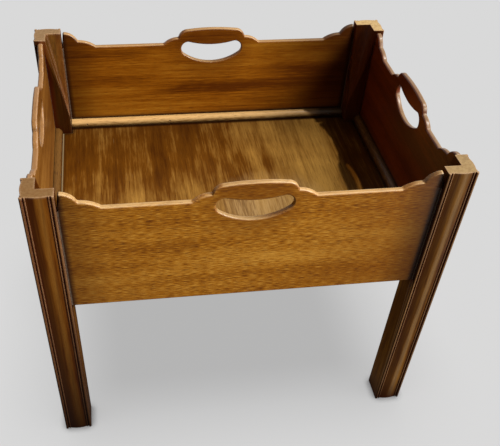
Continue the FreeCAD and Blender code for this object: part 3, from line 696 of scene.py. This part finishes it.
for side, along in ALONG.items():
    late_marks = [(darker_foot, MOULDING_FOOT_SHADE)]
    if side == "back":
        late_marks.insert(0, (painted_shade_spot, MOULDING_END_SHADE))
    nodes[f"{side}_moulding"].data.materials[0] = mahogany(
        f"polished mahogany, {side} moulding", along, BOARD_SHIFT[side], MOULDING_BROWNS[side],
        edge=MOULDING_TOPS[side], top=MOULDING_TOPS[side], wax=FLOOR_WAX_AND_SHADE, top_above_mm=349,
        wax_and_shade_mm=6, shine=0.2, sizes_mm=STRIP_MM, late_marks=late_marks)
    nodes[f"{side}_cleat"].data.materials[0] = mahogany(
        f"bare softwood, {side} bearer", along, BOARD_SHIFT[side], BEARER_BROWNS, edge=BEARER_EDGE,
        top=BEARER_EDGE, wax="#3a2814", roughness=0.6, shine=0.2, sizes_mm=STRIP_MM)
print("mouldings and bearers finished:", 2 * len(ALONG))

# %% [markdown]
# ## Old steel screws and pins
# The fixings underneath are plain drawn steel, dulled by age. A metal's colour is that of its
# reflection, so a brownish grey with rusty blotches and a high roughness is enough.

# %% Aged steel
steel = bpy.data.materials.new("aged drawn steel")
steel.use_nodes = True
tree = steel.node_tree
tree.nodes.clear()
blotches = grain(tree, "X", (0, 0, 0), {"blotches": (1.6, 1.6)})["blotches"]
rusty = add(tree, "ShaderNodeMapRange", {"Value": blotches, "From Min": 0.4, "From Max": 0.65})
colour = add(tree, "ShaderNodeMix", {"Factor": rusty, "A": linear("#8a8177"),
                                     "B": linear("#5d4a3a")}, data_type="RGBA")
dull = add(tree, "ShaderNodeMath", {0: rusty, 1: 0.25, 2: 0.35}, operation="MULTIPLY_ADD")
bump = add(tree, "ShaderNodeBump", {"Height": blotches, "Strength": 0.3, "Distance": 0.0001})
shader = add(tree, "ShaderNodeBsdfPrincipled", {"Base Color": colour, "Metallic": 1.0,
                                                "Roughness": dull, "Normal": bump})
add(tree, "ShaderNodeOutputMaterial", {"Surface": shader})
for name in FIXINGS:
    nodes[name].data.materials[0] = steel
print("steel on", len(FIXINGS), "groups of fixings")

# %% [markdown]
# ## The studio
# A big pale floor stands for the paper sweep of a studio. It is pale to the camera and in
# reflections, and darker for bounced light, so that it doesn't light the table from below. Part
# of its paleness is a glow of its own, which keeps the table's shadow light. The glow fades close
# to the feet, as a painted contact shadow. A photographer lays a dark cloth by a polished
# thing to keep the pale floor out of its shine: here a round patch before and left of the table
# stays plain in reflections, and the floor on the right shines.

# %% Floor and world
CLOTH_MIDDLE = (-0.75, -0.3, 0.0)
CLOTH_EDGE = (1.3, 1.5)
FOOT_SHADE_MM = 14
MATT_SHARE = 0.36
ROOM_LIGHT = 0.12


def pale_to_camera(tree, pale, plain, clothed):
    path = add(tree, "ShaderNodeLightPath")
    shine = path.outputs["Is Glossy Ray"]
    if clothed:
        place = add(tree, "ShaderNodeNewGeometry").outputs["Position"]
        reach = add(tree, "ShaderNodeVectorMath", {0: place, 1: CLOTH_MIDDLE},
                    operation="DISTANCE").outputs["Value"]
        bare = add(tree, "ShaderNodeMapRange", {"Value": reach, "From Min": CLOTH_EDGE[0],
                                                "From Max": CLOTH_EDGE[1]})
        shine = add(tree, "ShaderNodeMath", {0: shine, 1: bare}, operation="MULTIPLY")
    seen = path.outputs["Is Camera Ray"]
    for ray in (shine, path.outputs["Is Transmission Ray"]):
        seen = add(tree, "ShaderNodeMath", {0: seen, 1: ray}, operation="MAXIMUM")
    return add(tree, "ShaderNodeMixShader", {0: seen, 1: plain, 2: pale})


bpy.ops.mesh.primitive_plane_add(size=16)
sweep = bpy.context.object
sweep.name = "paper_sweep"
paper = bpy.data.materials.new("pale paper")
paper.use_nodes = True
tree = paper.node_tree
tree.nodes.clear()
touch = add(tree, "ShaderNodeAmbientOcclusion", {"Distance": FOOT_SHADE_MM / 1000}, samples=6)
open_paper = add(tree, "ShaderNodeMapRange", {"Value": touch.outputs["AO"], "From Min": 0.5,
                                              "From Max": 0.95, "To Min": 0.3})
glow = add(tree, "ShaderNodeEmission", {"Color": linear("#d8d8d8"), "Strength": open_paper})
matt = add(tree, "ShaderNodeBsdfDiffuse", {"Color": linear("#e0e0e0")})
pale = add(tree, "ShaderNodeMixShader", {0: MATT_SHARE, 1: glow, 2: matt})
plain = add(tree, "ShaderNodeBsdfDiffuse", {"Color": linear("#6a6a6a")})
add(tree, "ShaderNodeOutputMaterial", {"Surface": pale_to_camera(tree, pale, plain, clothed=True)})
sweep.data.materials.append(paper)

world = bpy.data.worlds.new("studio")
bpy.context.scene.world = world
world.use_nodes = True
tree = world.node_tree
tree.nodes.clear()
pale = add(tree, "ShaderNodeBackground", {"Color": linear("#d8d8d8")})
plain = add(tree, "ShaderNodeBackground", {"Color": linear("#ffffff"), "Strength": ROOM_LIGHT})
add(tree, "ShaderNodeOutputWorld", {"Surface": pale_to_camera(tree, pale, plain, clothed=False)})
print("studio floor and world ready")

# %% [markdown]
# ## Light
# A small hard lamp stands high on the right: the right rim throws a crisp shadow over the tray
# floor, and a sliver of light falls through the right hand hole. A broad soft lamp from the front
# right lights the front, the back's inner face and the mouldings of the legs. A weak lamp behind,
# lower than the rim, keeps the outer faces at the back from going black, and leaves no glints on
# the polish. The paper has an overhead lamp of its own, so that its shadow stays a soft pool under
# the table.

# %% Lamps
def lamp(name, kind, place, target, energy, lit, **settings):
    data = bpy.data.lights.new(name, kind)
    data.energy = energy
    for key, setting in settings.items():
        setattr(data, key, setting)
    light = bpy.data.objects.new(name, data)
    bpy.context.scene.collection.objects.link(light)
    light.location = place
    light.rotation_euler = (Vector(place) - Vector(target)).to_track_quat("Z", "Y").to_euler()
    light.light_linking.receiver_collection = lit
    return light


table_group = bpy.data.collections.new("lit table")
for piece in nodes.values():
    table_group.objects.link(piece)
paper_group = bpy.data.collections.new("lit paper")
paper_group.objects.link(sweep)
lamp("hard_lamp", "SUN", place=(1.242, 0.03, 2.73), target=(0, 0, 0), energy=1.75, lit=table_group,
     angle=math.radians(1.5))
lamp("soft_lamp", "AREA", place=(4.34, -2.82, 3.6), target=(0, 0, 0.4), energy=525, lit=table_group,
     size=2.2)
low_fill = lamp("low_fill", "AREA", place=(-2.2, 2.2, 0.3), target=(0, 0, 0.3), energy=40,
                lit=table_group, size=0.3)
low_fill.visible_glossy = False
lamp("overhead", "SUN", place=(0, 0, 3), target=(0, 0, 0), energy=2.6, lit=paper_group,
     angle=math.radians(36))

# %% [markdown]
# ## Camera
# The camera looks down at the table from the front, a little left of its middle, from about
# standing height close by. Its place and tilt come from matching the legs and the rim to the
# picture.

# %% Camera
TURN_DEG = (44.852, -2.068, -8.024)

camera_data = bpy.data.cameras.new("camera")
camera_data.sensor_width = 36
camera_data.lens = 50.3
camera_data.shift_x = 0.0624
camera_data.shift_y = 0.1242
camera_data.clip_start = 0.05
camera = bpy.data.objects.new("camera", camera_data)
bpy.context.scene.collection.objects.link(camera)
camera.location = (-0.1815, -0.9958, 1.1136)
camera.rotation_euler = [math.radians(turn) for turn in TURN_DEG]
bpy.context.scene.camera = camera
bpy.context.scene.view_settings.view_transform = "Standard"
print("camera at", [round(c, 3) for c in camera.location])
